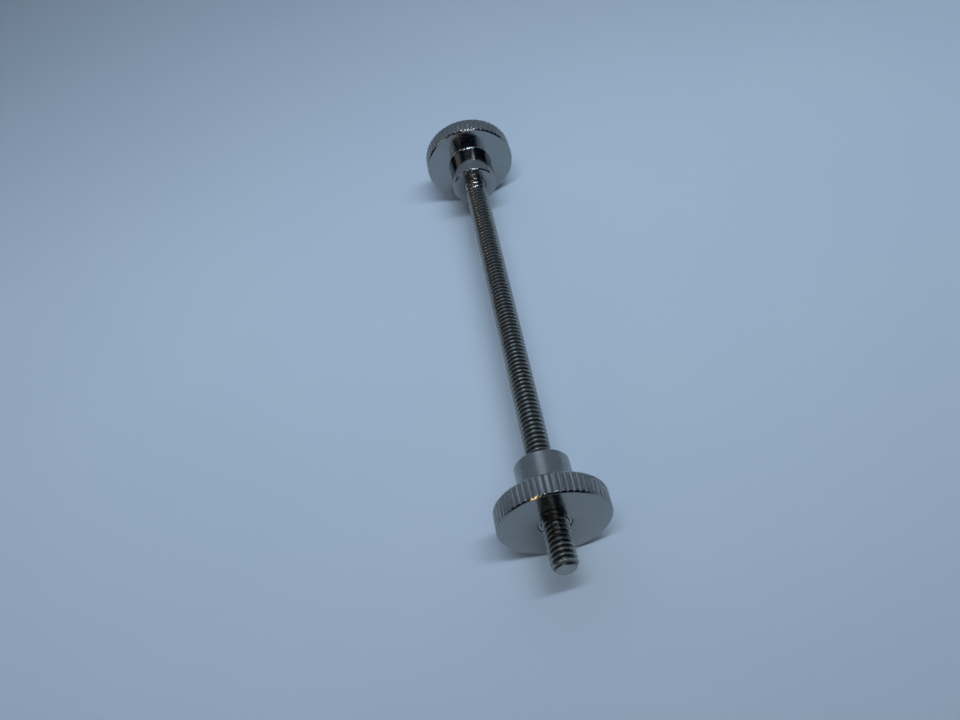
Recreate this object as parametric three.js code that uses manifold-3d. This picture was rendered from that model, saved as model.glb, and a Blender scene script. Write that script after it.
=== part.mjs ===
// Threaded tie rod with a fixed knurled head and a running knurled thumb nut.
// Millimetres, +Z up. The rod's axis runs along +Y and both discs stand on z = 0.
// The nut is near the rod's -Y end and its hub faces the hub of the head.
import * as THREE from 'three';
import { mergeVertices } from 'three/addons/utils/BufferGeometryUtils.js';
import Module from 'manifold-3d';

const wasm = await Module();
wasm.setup();

// Thread, 1/4-20 UNC
const threadDiameter = 6.35;
const threadPitch = 1.27;
const threadDepth = 0.78;
const crestFlat = threadPitch / 8;
const sidesPerTurn = 16;

// Knurled disc and hub, the same on the head and on the nut
const discDiameter = 27;
const discThickness = 5.5;
const discBevel = 0.45;
const hubDiameter = 13.4;
const hubLength = 10.7;
const hubBevel = 0.35;
const ridgeCount = 55;
const ridgeDepth = 0.24;
const ridgeFlatShare = 0.56;

// Rod: the thread runs out before the head, and the plain shank goes on into the head
const overallLength = 148.1;
const stubLength = 11.3;
const runOutTurns = 2;
const collarLength = 1.7;
const seatLength = 12;
const rodEndBevel = 0.9;

// Thread insert in the nut, and the clearances between pieces
const insertDiameter = 7.76;
const insertBore = 6.6;
const insertRecess = 0.2;
const gap = 0.3;

const boreSides = 32;
const hubSides = 64;
const discSides = 3 * ridgeCount;
const cutterMargin = 1;
const sameVertex = 1e-5;

// The flat top of one ridge of each disc lies on the floor.
const ridgeHalfAngle = (Math.PI * ridgeFlatShare) / ridgeCount;
const axisHeight = (discDiameter / 2) * Math.cos(ridgeHalfAngle);
const rodStart = -overallLength / 2;
const nutFace = rodStart + stubLength;
const headFace = overallLength / 2;
const headHubEnd = headFace - discThickness - hubLength;
const threadEnd = headHubEnd - collarLength;

// A closed surface as a solid that can be cut and joined.
function toSolid(geometry) {
  const bare = geometry.clone();
  bare.deleteAttribute('normal');
  bare.deleteAttribute('uv');
  const merged = mergeVertices(bare, sameVertex);
  const corners = merged.index.array;
  const kept = [];
  for (let i = 0; i < corners.length; i += 3) {
    const [a, b, c] = corners.slice(i, i + 3);
    if (a !== b && b !== c && c !== a) kept.push(a, b, c);
  }
  return new wasm.Manifold(new wasm.Mesh({
    numProp: 3,
    vertProperties: new Float32Array(merged.attributes.position.array),
    triVerts: new Uint32Array(kept),
  }));
}

// A solid back as a surface.
function toGeometry(solid) {
  const mesh = solid.getMesh();
  const geometry = new THREE.BufferGeometry();
  geometry.setAttribute('position', new THREE.BufferAttribute(mesh.vertProperties, 3));
  geometry.setIndex(new THREE.BufferAttribute(mesh.triVerts, 1));
  geometry.computeVertexNormals();
  return geometry;
}

// A solid turned about the Y axis from [radius, y] pairs that start and end on the axis.
function turned(profile, sides) {
  const points = profile.map(([radius, y]) => new THREE.Vector2(radius, y));
  return toSolid(new THREE.LatheGeometry(points, sides));
}

// A cylinder along Y with a bevel at each end.
function turnedBar(radius, start, end, startBevel, endBevel, sides) {
  return turned([
    [0, start],
    [radius - startBevel, start],
    [radius, start + startBevel],
    [radius, end - endBevel],
    [radius - endBevel, end],
    [0, end],
  ], sides);
}

// A right-hand helix about Y whose frames keep one section axis radial and the other along Y.
// It starts clear of the bar at the top and comes down to its full depth over the run-out.
class ThreadPath extends THREE.Curve {
  constructor(radius, top, turns) {
    super();
    this.radius = radius;
    this.top = top;
    this.turns = turns;
  }

  lift(t) {
    return threadDepth * Math.max(0, 1 - (this.turns * t) / runOutTurns);
  }

  radial(t) {
    const angle = 2 * Math.PI * this.turns * t;
    return new THREE.Vector3(Math.cos(angle), 0, Math.sin(angle));
  }

  getPoint(t, target = new THREE.Vector3()) {
    target.copy(this.radial(t)).multiplyScalar(this.radius + this.lift(t));
    target.y = this.top - threadPitch * this.turns * t;
    return target;
  }

  // Points at even turns, not even lengths, so that they meet the corners of the bar.
  getSpacedPoints(steps) {
    return this.getPoints(steps);
  }

  computeFrenetFrames(steps) {
    const frames = { tangents: [], normals: [], binormals: [] };
    for (let i = 0; i <= steps; i += 1) {
      const normal = this.radial(i / steps);
      const binormal = new THREE.Vector3(0, 1, 0);
      frames.normals.push(normal);
      frames.binormals.push(binormal);
      frames.tangents.push(normal.clone().cross(binormal));
    }
    return frames;
  }
}

// The V groove of the thread, from the end of the run-out to past the rod's free end.
function threadGroove() {
  const turns = Math.ceil((threadEnd - rodStart) / threadPitch) + 1;
  const halfMouth = (threadPitch - crestFlat) / 2;
  const section = new THREE.Shape([
    new THREE.Vector2(-threadDepth, 0),
    new THREE.Vector2(0, -halfMouth),
    new THREE.Vector2(gap, -halfMouth),
    new THREE.Vector2(gap, halfMouth),
    new THREE.Vector2(0, halfMouth),
  ]);
  const path = new ThreadPath(threadDiameter / 2, threadEnd, turns);
  const steps = turns * sidesPerTurn;
  return toSolid(new THREE.ExtrudeGeometry(section, { steps, extrudePath: path }));
}

function threadedRod() {
  const shankEnd = headHubEnd + seatLength;
  const bar = turnedBar(threadDiameter / 2, rodStart, shankEnd, rodEndBevel, 0, sidesPerTurn);
  return bar.subtract(threadGroove());
}

// The ridges of the knurl, as a prism along Y that reaches past both faces of the disc.
// Each ridge has a flat top and a V on each side of it, and one ridge points down.
function knurlPrism(start, end) {
  const crest = discDiameter / 2;
  const ridge = [[-ridgeHalfAngle, crest], [ridgeHalfAngle, crest]];
  ridge.push([Math.PI / ridgeCount, crest - ridgeDepth]);
  const corners = [];
  for (let i = 0; i < ridgeCount; i += 1) {
    const middle = (2 * Math.PI * i) / ridgeCount;
    for (const [turn, radius] of ridge) {
      const angle = middle + turn;
      corners.push(new THREE.Vector2(radius * Math.sin(angle), -radius * Math.cos(angle)));
    }
  }
  const depth = end - start + 2 * cutterMargin;
  const outline = new THREE.Shape(corners);
  const prism = new THREE.ExtrudeGeometry(outline, { depth, bevelEnabled: false });
  prism.rotateX(Math.PI / 2);
  prism.translate(0, end + cutterMargin, 0);
  return toSolid(prism);
}

// Disc and hub in one piece. The disc's flat face is at y = face, the hub points along side.
function knurledBody(face, side) {
  const discStart = Math.min(face, face + side * discThickness);
  const discEnd = discStart + discThickness;
  const hubTip = face + side * (discThickness + hubLength);
  const root = face + side * cutterMargin;
  const disc = turnedBar(discDiameter / 2, discStart, discEnd, discBevel, discBevel, discSides);
  const tipBevels = side > 0 ? [0, hubBevel] : [hubBevel, 0];
  const hubSpan = side > 0 ? [root, hubTip] : [hubTip, root];
  const hub = turnedBar(hubDiameter / 2, ...hubSpan, ...tipBevels, hubSides);
  return disc.intersect(knurlPrism(discStart, discEnd)).add(hub);
}

function knurledHead() {
  const boreEnd = headHubEnd + seatLength + gap;
  const boreStart = headHubEnd - cutterMargin;
  const bore = turnedBar(threadDiameter / 2 + gap, boreStart, boreEnd, 0, 0, boreSides);
  return knurledBody(headFace, -1).subtract(bore);
}

function knurledNut() {
  const hubEnd = nutFace + discThickness + hubLength;
  const boreSpan = [nutFace - cutterMargin, hubEnd + cutterMargin];
  const bore = turnedBar(insertDiameter / 2 + gap, ...boreSpan, 0, 0, boreSides);
  return knurledBody(nutFace, 1).subtract(bore);
}

function threadInsert() {
  const start = nutFace + insertRecess;
  const end = nutFace + discThickness + hubLength - insertRecess;
  const sleeve = turnedBar(insertDiameter / 2, start, end, 0, 0, boreSides);
  const boreSpan = [start - cutterMargin, end + cutterMargin];
  return sleeve.subtract(turnedBar(insertBore / 2, ...boreSpan, 0, 0, boreSides));
}

const rodSteel = { color: 0x8c8a84, roughness: 0.38, metalness: 1 };
const turnedAluminium = { color: 0xb9bcc0, roughness: 0.25, metalness: 1 };
const insertSteel = { color: 0x9a9a98, roughness: 0.35, metalness: 1 };

function addPiece(group, name, solid, look) {
  const mesh = new THREE.Mesh(toGeometry(solid), new THREE.MeshStandardMaterial(look));
  mesh.name = name;
  mesh.position.z = axisHeight;
  group.add(mesh);
}

const tieRod = new THREE.Group();
addPiece(tieRod, 'threaded_rod', threadedRod(), rodSteel);
addPiece(tieRod, 'knurled_head', knurledHead(), turnedAluminium);
addPiece(tieRod, 'thread_insert', threadInsert(), insertSteel);
addPiece(tieRod, 'knurled_nut', knurledNut(), turnedAluminium);

export default tieRod;
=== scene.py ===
import math
import random

import bmesh
import bpy
from mathutils import Euler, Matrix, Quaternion, Vector


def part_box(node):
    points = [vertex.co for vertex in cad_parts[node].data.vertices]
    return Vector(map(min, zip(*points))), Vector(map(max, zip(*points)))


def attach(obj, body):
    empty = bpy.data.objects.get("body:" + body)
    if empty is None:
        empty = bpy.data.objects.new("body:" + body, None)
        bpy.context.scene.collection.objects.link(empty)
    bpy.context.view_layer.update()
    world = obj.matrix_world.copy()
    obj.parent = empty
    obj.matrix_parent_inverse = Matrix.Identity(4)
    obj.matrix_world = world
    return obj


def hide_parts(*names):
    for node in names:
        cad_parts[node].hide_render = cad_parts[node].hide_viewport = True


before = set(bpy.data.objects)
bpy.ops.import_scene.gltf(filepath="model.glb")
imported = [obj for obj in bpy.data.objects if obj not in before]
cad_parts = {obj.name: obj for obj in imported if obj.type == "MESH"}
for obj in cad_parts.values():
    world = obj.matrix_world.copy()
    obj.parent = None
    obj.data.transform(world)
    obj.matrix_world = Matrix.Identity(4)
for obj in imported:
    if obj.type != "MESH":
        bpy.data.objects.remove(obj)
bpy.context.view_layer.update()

MM = 0.001
FULL_TURN = 2 * math.pi

# Places and outer sizes, as the CAD has them
ROD_LOW, ROD_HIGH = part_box("threaded_rod")
HEAD_LOW, HEAD_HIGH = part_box("knurled_head")
NUT_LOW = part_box("knurled_nut")[0]
INSERT_LOW, INSERT_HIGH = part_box("thread_insert")
AXIS_HEIGHT = (ROD_LOW.z + ROD_HIGH.z) / 2
ROD_RADIUS = (ROD_HIGH.z - ROD_LOW.z) / 2
DISC_RADIUS = AXIS_HEIGHT - HEAD_LOW.z
HEAD_FACE = HEAD_HIGH.y
HEAD_HUB_TIP = HEAD_LOW.y
NUT_FACE = NUT_LOW.y

# Thread, 1/4-20 UNC, and the two beads of the collar between it and the head
THREAD_PITCH = 1.27 * MM
THREAD_DEPTH = 0.78 * MM
CREST_SHARE = 1 / 5
GROOVE_POWER = 1.25
ROOT_SHARE = 1 / 6
FLANK_PHASES = (0.05, 0.09, 0.13, 0.18, 0.25, 0.33, 0.4, 0.45)
THREAD_PHASES = (0, *FLANK_PHASES, 0.5, *(1 - phase for phase in reversed(FLANK_PHASES)))
THREAD_COLUMNS = 72
# From the head's hub to where the CAD's thread ends, so that both threads are in phase
THREAD_START_SHIFT = 1.7 * MM
RUN_OUT = 0.6 * MM
BEAD_LENGTH = 1.75 * MM
BEAD_RADIUS = 2.9 * MM
BEAD_CROWN = 0.5 * MM
COLLAR_LENGTH = 2 * BEAD_LENGTH
THREAD_END = HEAD_HUB_TIP - COLLAR_LENGTH
ROD_END_BEVEL = 0.9 * MM

# Disc and hub, the same on the head and on the nut
DISC_THICKNESS = 5.5 * MM
DISC_BEVEL = 0.45 * MM
HUB_RADIUS = 6.7 * MM
HUB_BEVEL = 0.35 * MM
HUB_ROOT_FILLET = 0.5 * MM
EDGE_BREAK = 0.07 * MM
MOST_OF_AN_EDGE = 0.45
RIDGE_COUNT = 55
RIDGE_DEPTH = 0.24 * MM
RIDGE_FLAT_SHARE = 0.5
RIDGE_TILT = 0.025 * MM
COLUMNS_PER_RIDGE = 16
FLAT_VARIES = (0.86, 1.1)
DEPTH_VARIES = (0.85, 1.0)
VALLEY_POWER = 1.2

# Bores and the thread insert
ROD_BORE = ROD_RADIUS + 0.03 * MM
HEAD_BORE_DEPTH = 12.3 * MM
BORE_CHAMFER = 0.25 * MM
INSERT_RADIUS = (INSERT_HIGH.z - INSERT_LOW.z) / 2
INSERT_BORE = INSERT_RADIUS + 0.17 * MM
INSERT_CHAMFER = 0.2 * MM
INSERT_COLUMNS = 96


# ---------------------------------------------------------------- mesh

def on_axis(radius, angle, y):
    """A point at a radius and angle about the rod's axis.
    The angle starts at the top and turns right-handed about +Y."""
    return Vector((radius * math.sin(angle), y, AXIS_HEIGHT + radius * math.cos(angle)))


def finish_mesh(name, mesh, recess, sharp_angle=35):
    """The bmesh as a scene object, smooth but for its sharp edges.
    recess says how deep each vertex lies in a groove, and the materials paint shade from it."""
    bmesh.ops.recalc_face_normals(mesh, faces=mesh.faces)
    data = bpy.data.meshes.new(name)
    mesh.verts.index_update()
    layer = [recess.get(v, 0.0) for v in mesh.verts]
    mesh.to_mesh(data)
    mesh.free()
    data.attributes.new("recess", "FLOAT", "POINT").data.foreach_set("value", layer)
    data.shade_smooth()
    data.set_sharp_from_angle(angle=math.radians(sharp_angle))
    piece = bpy.data.objects.new(name, data)
    bpy.context.scene.collection.objects.link(piece)
    weighted = piece.modifiers.new("flat_faces", "WEIGHTED_NORMAL")
    weighted.keep_sharp = True
    return piece


def rounded(outline, size, steps=3):
    """The outline with its inner corners rounded.
    A point is (radius, y, recess), and its own size may follow."""
    result = [outline[0][:3]]
    for before, corner, after in zip(outline, outline[1:], outline[2:]):
        here = Vector(corner[:3])
        cut = corner[3] if len(corner) > 3 else size
        ends = []
        for other in (before, after):
            way = Vector(other[:3]) - here
            length = Vector((way.x, way.y)).length
            ends.append(here + way * min(cut / length, MOST_OF_AN_EDGE))
        for i in range(steps + 1):
            t = i / steps
            point = ends[0] * (1 - t) ** 2 + here * 2 * t * (1 - t) + ends[1] * t ** 2
            result.append(tuple(point))
    result.append(outline[-1][:3])
    return result


def lathe(name, outline_at, columns, closed):
    """A surface about the rod's axis.
    outline_at(angle) gives its outline, with as many points at every angle.
    A closed outline is a ring's section, and an open one starts and ends on the axis."""
    mesh = bmesh.new()
    recess = {}
    rings = []
    poles = {}
    for column in range(columns):
        angle = FULL_TURN * column / columns
        ring = []
        for row, (radius, y, depth) in enumerate(outline_at(angle)):
            if radius == 0:
                vertex = poles.get(row) or mesh.verts.new(on_axis(0, 0, y))
                poles[row] = vertex
            else:
                vertex = mesh.verts.new(on_axis(radius, angle, y))
            recess[vertex] = depth
            ring.append(vertex)
        rings.append(ring)
    rows = len(rings[0])
    for column, ring in enumerate(rings):
        beside = rings[(column + 1) % columns]
        for row in range(rows if closed else rows - 1):
            below = (row + 1) % rows
            corners = [ring[row], beside[row], beside[below], ring[below]]
            mesh.faces.new(list(dict.fromkeys(corners)))
    return finish_mesh(name, mesh, recess)


def ridge_cuts(seed):
    """How deep the knurl cuts at an angle, as a function. Each ridge is a little unlike the next."""
    draw = random.Random(seed)
    flats = [RIDGE_FLAT_SHARE * draw.uniform(*FLAT_VARIES) for _ in range(RIDGE_COUNT)]
    depths = [RIDGE_DEPTH * draw.uniform(*DEPTH_VARIES) for _ in range(RIDGE_COUNT + 1)]
    depths[-1] = depths[0]
    tilts = [RIDGE_TILT * draw.uniform(-1, 1) for _ in range(RIDGE_COUNT)]

    def cut(angle):
        place = (angle / FULL_TURN + 0.5) * RIDGE_COUNT + 0.5
        ridge = math.floor(place)
        across = place - ridge - 0.5
        flat = flats[ridge % RIDGE_COUNT] / 2
        share = max(0.0, (abs(across) - flat) / (0.5 - flat))
        valley = (ridge + (across > 0)) % RIDGE_COUNT
        lean = tilts[ridge % RIDGE_COUNT] * across * (1 - share) * 2
        return max(0.0, depths[valley] * share ** VALLEY_POWER + lean)
    return cut


def disc_and_hub(face, side, cut, end_points):
    """The outline of a disc and its hub, from the flat face to the hub's tip and on through end_points.
    side is +1 where the hub points along +Y from the face."""
    rim = DISC_RADIUS - cut
    bevel = DISC_BEVEL - cut
    # The knurl's valleys carry their depth as recess, which the material turns into painted shade
    depth = cut / RIDGE_DEPTH
    back = DISC_THICKNESS
    tip = HEAD_FACE - HEAD_HUB_TIP
    points = [
        (DISC_RADIUS - DISC_BEVEL, 0, 0),
        (rim, bevel, depth),
        (rim, back / 2, depth, 0),
        (rim, back - bevel, depth),
        (DISC_RADIUS - DISC_BEVEL, back, 0),
        (HUB_RADIUS, back, 0, HUB_ROOT_FILLET),
        (HUB_RADIUS, tip - HUB_BEVEL, 0),
        (HUB_RADIUS - HUB_BEVEL, tip, 0),
        *end_points,
    ]
    return [(radius, face + side * y, *rest) for radius, y, *rest in points]


def knurled_head():
    cut_at = ridge_cuts(seed=7)
    tip = HEAD_FACE - HEAD_HUB_TIP
    floor = tip - HEAD_BORE_DEPTH
    # The bore's recess rises to 1 at its floor, which the material turns into painted shade
    bore = [
        (ROD_BORE + BORE_CHAMFER, tip, 0),
        (ROD_BORE, tip - BORE_CHAMFER, 0),
        (ROD_BORE, floor, 1),
        (0, floor, 1),
    ]

    def outline(angle):
        points = disc_and_hub(HEAD_FACE, -1, cut_at(angle), bore)
        return rounded([(0, HEAD_FACE, 0), *points], EDGE_BREAK)
    return lathe("head", outline, RIDGE_COUNT * COLUMNS_PER_RIDGE, closed=False)


def knurled_nut():
    cut_at = ridge_cuts(seed=11)
    tip = HEAD_FACE - HEAD_HUB_TIP
    mouth = INSERT_BORE + EDGE_BREAK
    bore = [
        (mouth, tip, 0, 0),
        (INSERT_BORE, tip - EDGE_BREAK, 0, 0),
        (INSERT_BORE, EDGE_BREAK, 0, 0),
        (mouth, 0, 0, 0),
    ]

    def outline(angle):
        points = disc_and_hub(NUT_FACE, 1, cut_at(angle), bore)
        middle = ((DISC_RADIUS + mouth) / 2, NUT_FACE, 0)
        return rounded([middle, *points, middle], EDGE_BREAK)[:-1]
    return lathe("thumb_nut", outline, RIDGE_COUNT * COLUMNS_PER_RIDGE, closed=True)


def thread_insert():
    start = INSERT_LOW.y
    end = INSERT_HIGH.y
    middle = ((ROD_BORE + INSERT_RADIUS) / 2, start, 0)
    # The bore's recess of 0.5 gives it painted shade
    section = [
        middle,
        (INSERT_RADIUS, start, 0),
        (INSERT_RADIUS, end, 0),
        (ROD_BORE + INSERT_CHAMFER, end, 0),
        (ROD_BORE, end - INSERT_CHAMFER, 0.5),
        (ROD_BORE, start + INSERT_CHAMFER, 0.5),
        (ROD_BORE + INSERT_CHAMFER, start, 0),
        middle,
    ]
    outline = rounded(section, EDGE_BREAK)[:-1]
    return lathe("insert", lambda angle: outline, INSERT_COLUMNS, closed=True)


def groove_share(phase):
    """How deep the thread is at a phase of its pitch, from 0 on the crest to 1 at the root."""
    flank = (min(phase, 1 - phase) - CREST_SHARE / 2) / (0.5 - CREST_SHARE / 2 - ROOT_SHARE / 2)
    share = min(1.0, max(0.0, flank))
    return math.sin(share * math.pi / 2) ** GROOVE_POWER


def rod_surface(y, phase):
    """The rod's radius and recess at y and at a phase of the thread.
    From -Y to +Y it has an end bevel, the thread, the beads, and the shank in the head."""
    if y > HEAD_HUB_TIP:
        return ROD_RADIUS, 0.0
    if y > THREAD_END:
        across = 2 * ((y - THREAD_END) / BEAD_LENGTH % 1) - 1
        # The recess, near 1 in the waists between the beads, gives them painted shade
        return BEAD_RADIUS - BEAD_CROWN * across ** 4, across ** 8
    share = groove_share(phase)
    run_out = min(1.0, (THREAD_END - y) / RUN_OUT)
    crest = BEAD_RADIUS - BEAD_CROWN + (ROD_RADIUS - BEAD_RADIUS + BEAD_CROWN) * run_out
    radius = min(crest, ROD_RADIUS - THREAD_DEPTH * share)
    return min(radius, ROD_RADIUS - ROD_END_BEVEL + max(0.0, y - ROD_LOW.y)), share


def threaded_rod():
    """The rod as a grid whose rows follow the thread's helix, cut square at both ends."""
    mesh = bmesh.new()
    recess = {}
    per_turn = len(THREAD_PHASES)
    first_root = HEAD_HUB_TIP - THREAD_START_SHIFT - THREAD_PITCH / 4
    turns_below = math.ceil((first_root - ROD_LOW.y) / THREAD_PITCH) + 2
    turns_above = math.ceil((ROD_HIGH.y - first_root) / THREAD_PITCH) + 1
    rows = []
    for turn in range(-turns_below, turns_above):
        for phase in THREAD_PHASES:
            start = first_root + (turn + phase - 0.5) * THREAD_PITCH
            row = []
            for column in range(THREAD_COLUMNS):
                y = start + THREAD_PITCH * column / THREAD_COLUMNS
                radius, share = rod_surface(y, phase)
                vertex = mesh.verts.new(on_axis(radius, FULL_TURN * column / THREAD_COLUMNS, y))
                # The groove's share is the recess, which gives the thread's roots painted shade
                recess[vertex] = share
                row.append(vertex)
            rows.append(row)
    for i in range(len(rows) - per_turn - 1):
        for column in range(THREAD_COLUMNS - 1):
            lower, upper = rows[i], rows[i + 1]
            mesh.faces.new((lower[column], lower[column + 1], upper[column + 1], upper[column]))
        seam = (rows[i][-1], rows[i + per_turn][0], rows[i + per_turn + 1][0], rows[i + 1][-1])
        mesh.faces.new(seam)
    for y, direction in ((ROD_LOW.y, -1), (ROD_HIGH.y, 1)):
        everything = list(mesh.verts) + list(mesh.edges) + list(mesh.faces)
        bmesh.ops.bisect_plane(
            mesh, geom=everything, plane_co=(0, y, 0), plane_no=(0, direction, 0), clear_outer=True)
        rim = [e for e in mesh.edges if e.is_boundary and abs(e.verts[0].co.y - y) < EDGE_BREAK]
        bmesh.ops.contextual_create(mesh, geom=rim)
    alive = set(mesh.verts)
    kept = {vertex: share for vertex, share in recess.items() if vertex in alive}
    return finish_mesh("rod", mesh, kept, sharp_angle=50)


# ---------------------------------------------------------------- materials

SATIN_EDGE = 0.3 * MM
SATIN_ROUGHNESS = 0.14
BARE_ALUMINIUM = (0.335, 0.34, 0.33, 1)
# Painted shade: the colour that grooves and bores are darkened towards; smudges also darken a little
# towards it
SHADE_AND_SMUDGE_ALUMINIUM = (0.07, 0.07, 0.075, 1)

# Noise scales, per metre
MARK_SCALE = 9000.0
BAND_SCALE = 900.0
SMUDGE_SCALE = 220.0
GRAIN_SCALE = 9000.0
CLOUD_SCALE = 9.0
GRAIN_SHARE = 0.35

# How much smudges and grooves add
SMUDGE_DARKENING = 0.06
SMUDGE_ROUGHNESS = 0.03
GROOVE_ROUGHNESS = 0.1


class Nodes:
    """A short way to add and join the nodes of one material."""

    def __init__(self, name):
        self.material = bpy.data.materials.new(name)
        self.material.use_nodes = True
        self.tree = self.material.node_tree
        self.shader = self.tree.nodes["Principled BSDF"]

    def add(self, kind, inputs=None, **settings):
        node = self.tree.nodes.new("ShaderNode" + kind)
        for key, value in settings.items():
            setattr(node, key, value)
        for key, value in (inputs or {}).items():
            self.feed(node.inputs[key], value)
        return node.outputs[0]

    def feed(self, socket, value):
        if isinstance(value, bpy.types.NodeSocket):
            self.tree.links.new(value, socket)
        else:
            socket.default_value = value

    def math(self, operation, a, b=0.0):
        return self.add("Math", {0: a, 1: b}, operation=operation)

    def noise(self, vector, scale, detail=3.0, roughness=0.5):
        inputs = {"Vector": vector, "Scale": scale, "Detail": detail, "Roughness": roughness}
        return self.add("TexNoise", inputs)

    def spread(self, value, low, high, to_low, to_high):
        """The value, stretched from low..high to to_low..to_high."""
        inputs = {"Value": value, "From Min": low, "From Max": high, "To Min": to_low, "To Max": to_high}
        return self.add("MapRange", inputs)

    def blend(self, share, a, b):
        """Colour a where share is 0, and colour b where it is 1."""
        node = self.tree.nodes.new("ShaderNodeMix")
        node.data_type = "RGBA"
        self.feed(node.inputs["Factor"], share)
        self.feed(node.inputs["A"], a)
        self.feed(node.inputs["B"], b)
        return node.outputs["Result"]

    def around_axis(self):
        """Coordinates (distance from the rod's axis, y, 0), in which a tool mark is a straight line."""
        place = self.add("TexCoord").node.outputs["Object"]
        apart = self.add("SeparateXYZ", {"Vector": place}).node.outputs
        height = self.math("SUBTRACT", apart["Z"], AXIS_HEIGHT)
        squares = self.math("ADD", self.math("POWER", apart["X"], 2.0), self.math("POWER", height, 2.0))
        radius = self.math("SQRT", squares)
        return place, self.add("CombineXYZ", {"X": radius, "Y": apart["Y"]})


def turned_metal(name, colour, shade_and_smudge_colour, roughness, mark_depth, painted_groove_shade, anisotropy, satin_from=None):
    """Bare metal off the lathe: tool marks around the axis, uneven polish, rougher grooves, and painted
    shade that darkens grooves by their recess.
    The knurled rim is satin, and so is everything beyond satin_from along Y."""
    nodes = Nodes(name)
    place, around = nodes.around_axis()
    recess = nodes.add("Attribute", attribute_name="recess").node.outputs["Fac"]
    marks = nodes.noise(around, MARK_SCALE, detail=4.0, roughness=0.65)
    bands = nodes.noise(around, BAND_SCALE, detail=2.0)
    smudges = nodes.noise(place, SMUDGE_SCALE, detail=4.0)
    grains = nodes.noise(place, GRAIN_SCALE, detail=2.0)

    # Painted shade: the deeper a point lies in a groove or bore, the more its colour goes towards the
    # shade colour
    depth = nodes.spread(recess, 0.15, 1.0, 0.0, painted_groove_shade)
    uneven = nodes.spread(smudges, 0.35, 0.7, 0.0, SMUDGE_DARKENING)
    base = nodes.blend(uneven, colour, shade_and_smudge_colour)
    nodes.feed(nodes.shader.inputs["Base Color"], nodes.blend(depth, base, shade_and_smudge_colour))

    parts = nodes.add("SeparateXYZ", {"Vector": around}).node.outputs
    satin = nodes.spread(parts["X"], DISC_RADIUS - 2 * SATIN_EDGE, DISC_RADIUS - SATIN_EDGE, 0.0, 1.0)
    if satin_from is not None:
        beyond = nodes.spread(parts["Y"], satin_from, satin_from + SATIN_EDGE, 0.0, 1.0)
        satin = nodes.math("MAXIMUM", satin, beyond)
    normal = nodes.add("NewGeometry").node.outputs["Normal"]
    lengthwise = nodes.math("ABSOLUTE", nodes.add("SeparateXYZ", {"Vector": normal}).node.outputs["Y"])
    satin = nodes.math("MULTIPLY", satin, nodes.spread(lengthwise, 0.2, 0.5, 1.0, 0.0))
    polished = nodes.spread(bands, 0.3, 0.7, roughness * 0.8, roughness * 1.2)
    polish = nodes.math("ADD", polished, nodes.math("MULTIPLY", satin, SATIN_ROUGHNESS))
    smeared = nodes.math("ADD", polish, nodes.spread(smudges, 0.4, 0.8, 0.0, SMUDGE_ROUGHNESS))
    rough = nodes.math("ADD", smeared, nodes.spread(recess, 0.2, 1.0, 0.0, GROOVE_ROUGHNESS))
    nodes.feed(nodes.shader.inputs["Roughness"], rough)

    texture = nodes.math("ADD", marks, nodes.math("MULTIPLY", grains, GRAIN_SHARE))
    bump = nodes.add("Bump", {"Strength": 1.0, "Distance": mark_depth, "Height": texture})
    nodes.feed(nodes.shader.inputs["Normal"], bump)
    nodes.shader.inputs["Metallic"].default_value = 1.0
    nodes.shader.inputs["Anisotropic"].default_value = anisotropy
    nodes.feed(nodes.shader.inputs["Tangent"], nodes.add("Tangent", direction_type="RADIAL", axis="Y"))
    return nodes.material


def head_metal():
    # Painted shade darkens the knurl's valleys a little, and the head's bore towards its floor
    return turned_metal("head_turned_aluminium", BARE_ALUMINIUM, SHADE_AND_SMUDGE_ALUMINIUM,
                        roughness=0.115, mark_depth=0.0008 * MM, painted_groove_shade=0.15, anisotropy=0.3)


def nut_metal():
    # Painted shade darkens the knurl's valleys a little
    return turned_metal("nut_turned_aluminium", BARE_ALUMINIUM, SHADE_AND_SMUDGE_ALUMINIUM,
                        roughness=0.13, mark_depth=0.0012 * MM, painted_groove_shade=0.15, anisotropy=0.3,
                        satin_from=NUT_FACE + DISC_THICKNESS)


def rod_metal():
    # Painted shade strongly darkens the thread's roots and the waists between the collar's beads
    return turned_metal("rod_rolled_steel", (0.37, 0.37, 0.345, 1), (0.035, 0.034, 0.03, 1),
                        roughness=0.2, mark_depth=0.0003 * MM, painted_groove_shade=0.85, anisotropy=0.2)


def insert_metal():
    # Painted shade darkens the insert's bore
    return turned_metal("insert_steel", (0.5, 0.5, 0.49, 1), (0.04, 0.04, 0.04, 1),
                        roughness=0.28, mark_depth=0.0015 * MM, painted_groove_shade=0.8, anisotropy=0.3)


def floor_paper():
    nodes = Nodes("floor_pale")
    place = nodes.add("TexCoord").node.outputs["Object"]
    cloudy = nodes.spread(nodes.noise(place, CLOUD_SCALE), 0.3, 0.7, 0.0, 1.0)
    colour = nodes.blend(cloudy, (0.58, 0.665, 0.75, 1), (0.61, 0.69, 0.765, 1))
    nodes.feed(nodes.shader.inputs["Base Color"], colour)
    nodes.shader.inputs["Roughness"].default_value = 0.55
    nodes.shader.inputs["Specular IOR Level"].default_value = 0.3
    return nodes.material


# ---------------------------------------------------------------- the object

def place_piece(piece, body, node, material):
    piece.data.materials.append(material)
    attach(piece, body)
    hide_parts(node)


place_piece(threaded_rod(), "rod_and_head", "threaded_rod", rod_metal())
place_piece(knurled_head(), "rod_and_head", "knurled_head", head_metal())
place_piece(thread_insert(), "insert", "thread_insert", insert_metal())
place_piece(knurled_nut(), "nut", "knurled_nut", nut_metal())


# ---------------------------------------------------------------- floor, light and camera

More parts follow.
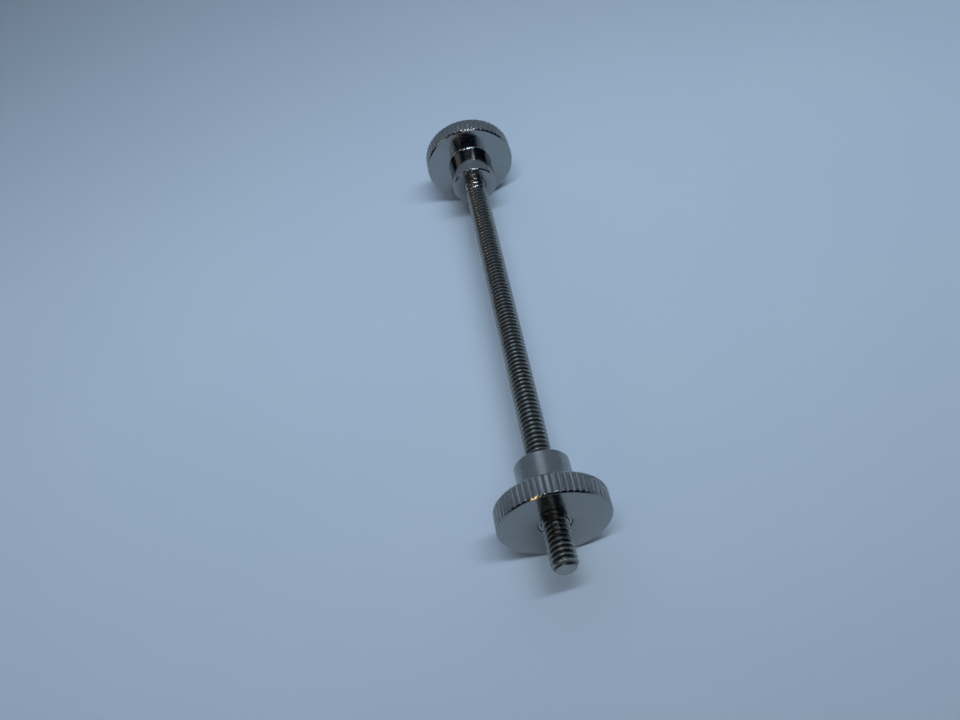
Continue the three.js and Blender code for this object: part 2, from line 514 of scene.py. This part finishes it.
FLOOR_SIZE = 4.0
FADE_START = -0.05
FADE_END = 0.65
SENSOR_WIDTH = 36
FOCAL_LENGTH = 34.01
NEAREST_SEEN = 0.01
CAMERA_PLACE = (0.0052, -0.1628, 0.1957)
CAMERA_TURN = (38.509, 11.802, -8.975)


def add_floor():
    half = FLOOR_SIZE / 2
    data = bpy.data.meshes.new("floor")
    corners = [(-half, -half, 0), (half, -half, 0), (half, half, 0), (-half, half, 0)]
    data.from_pydata(corners, [], [(0, 1, 2, 3)])
    floor = bpy.data.objects.new("floor", data)
    bpy.context.scene.collection.objects.link(floor)
    floor.data.materials.append(floor_paper())


def add_light(name, location, target, size, power, colour, spread, turn=0):
    """A lamp with a rectangular face at location that shines at target. power is in watts.
    turn is about the lamp's own axis, and angles are in degrees."""
    data = bpy.data.lights.new(name, "AREA")
    data.shape = "RECTANGLE"
    data.size, data.size_y = size
    data.energy = power
    data.color = colour
    data.spread = math.radians(spread)
    light = bpy.data.objects.new(name, data)
    light.location = location
    aim = (Vector(target) - Vector(location)).to_track_quat("-Z", "Y")
    light.rotation_euler = (aim @ Quaternion((0, 0, 1), math.radians(turn))).to_euler()
    bpy.context.scene.collection.objects.link(light)


def add_world(dark, bright):
    """A room that is dark on the -Y side, where the camera stands, and bright on the +Y side."""
    world = bpy.data.worlds.new("studio")
    world.use_nodes = True
    tree = world.node_tree
    place = tree.nodes.new("ShaderNodeTexCoord")
    apart = tree.nodes.new("ShaderNodeSeparateXYZ")
    side = tree.nodes.new("ShaderNodeMapRange")
    side.interpolation_type = "SMOOTHSTEP"
    side.inputs["From Min"].default_value = FADE_START
    side.inputs["From Max"].default_value = FADE_END
    mix = tree.nodes.new("ShaderNodeMix")
    mix.data_type = "RGBA"
    mix.inputs["A"].default_value = (*dark, 1)
    mix.inputs["B"].default_value = (*bright, 1)
    tree.links.new(place.outputs["Generated"], apart.inputs["Vector"])
    tree.links.new(apart.outputs["Y"], side.inputs["Value"])
    tree.links.new(side.outputs["Result"], mix.inputs["Factor"])
    tree.links.new(mix.outputs["Result"], tree.nodes["Background"].inputs["Color"])
    bpy.context.scene.world = world


def add_camera():
    data = bpy.data.cameras.new("camera")
    data.sensor_width = SENSOR_WIDTH
    data.lens = FOCAL_LENGTH
    data.clip_start = NEAREST_SEEN
    camera = bpy.data.objects.new("camera", data)
    camera.location = CAMERA_PLACE
    camera.rotation_euler = Euler([math.radians(a) for a in CAMERA_TURN], "XYZ")
    bpy.context.scene.collection.objects.link(camera)
    bpy.context.scene.camera = camera


add_floor()
add_light("strip", location=(0.09, -0.145, 0.6), target=(-0.02, 0.08, 0), size=(0.6, 0.025),
          power=0.54, colour=(0.70, 0.84, 1.0), spread=70, turn=-22)
add_light("front", location=(0.3, -0.78, 1.0), target=(0, 0.06, 0), size=(0.55, 0.08),
          power=0.5, colour=(0.84, 0.96, 1.0), spread=180)
add_light("warm", location=(-0.42, -1.2, 0.62), target=(0, 0, 0), size=(0.1, 0.4),
          power=0.8, colour=(1.0, 0.70, 0.34), spread=180)
add_light("ceiling", location=(0, 0.9, 1.4), target=(0, 0, 0), size=(0.75, 0.6),
          power=0.95, colour=(0.66, 0.81, 1.0), spread=180)
add_light("left", location=(-0.72, -0.34, 0.52), target=(-0.03, 0.04, 0), size=(0.5, 0.4),
          power=0.06, colour=(1.0, 0.97, 0.93), spread=80)
add_world(dark=(0.004, 0.008, 0.022), bright=(0.185, 0.24, 0.315))
add_camera()
bpy.context.scene.view_settings.view_transform = "Standard"
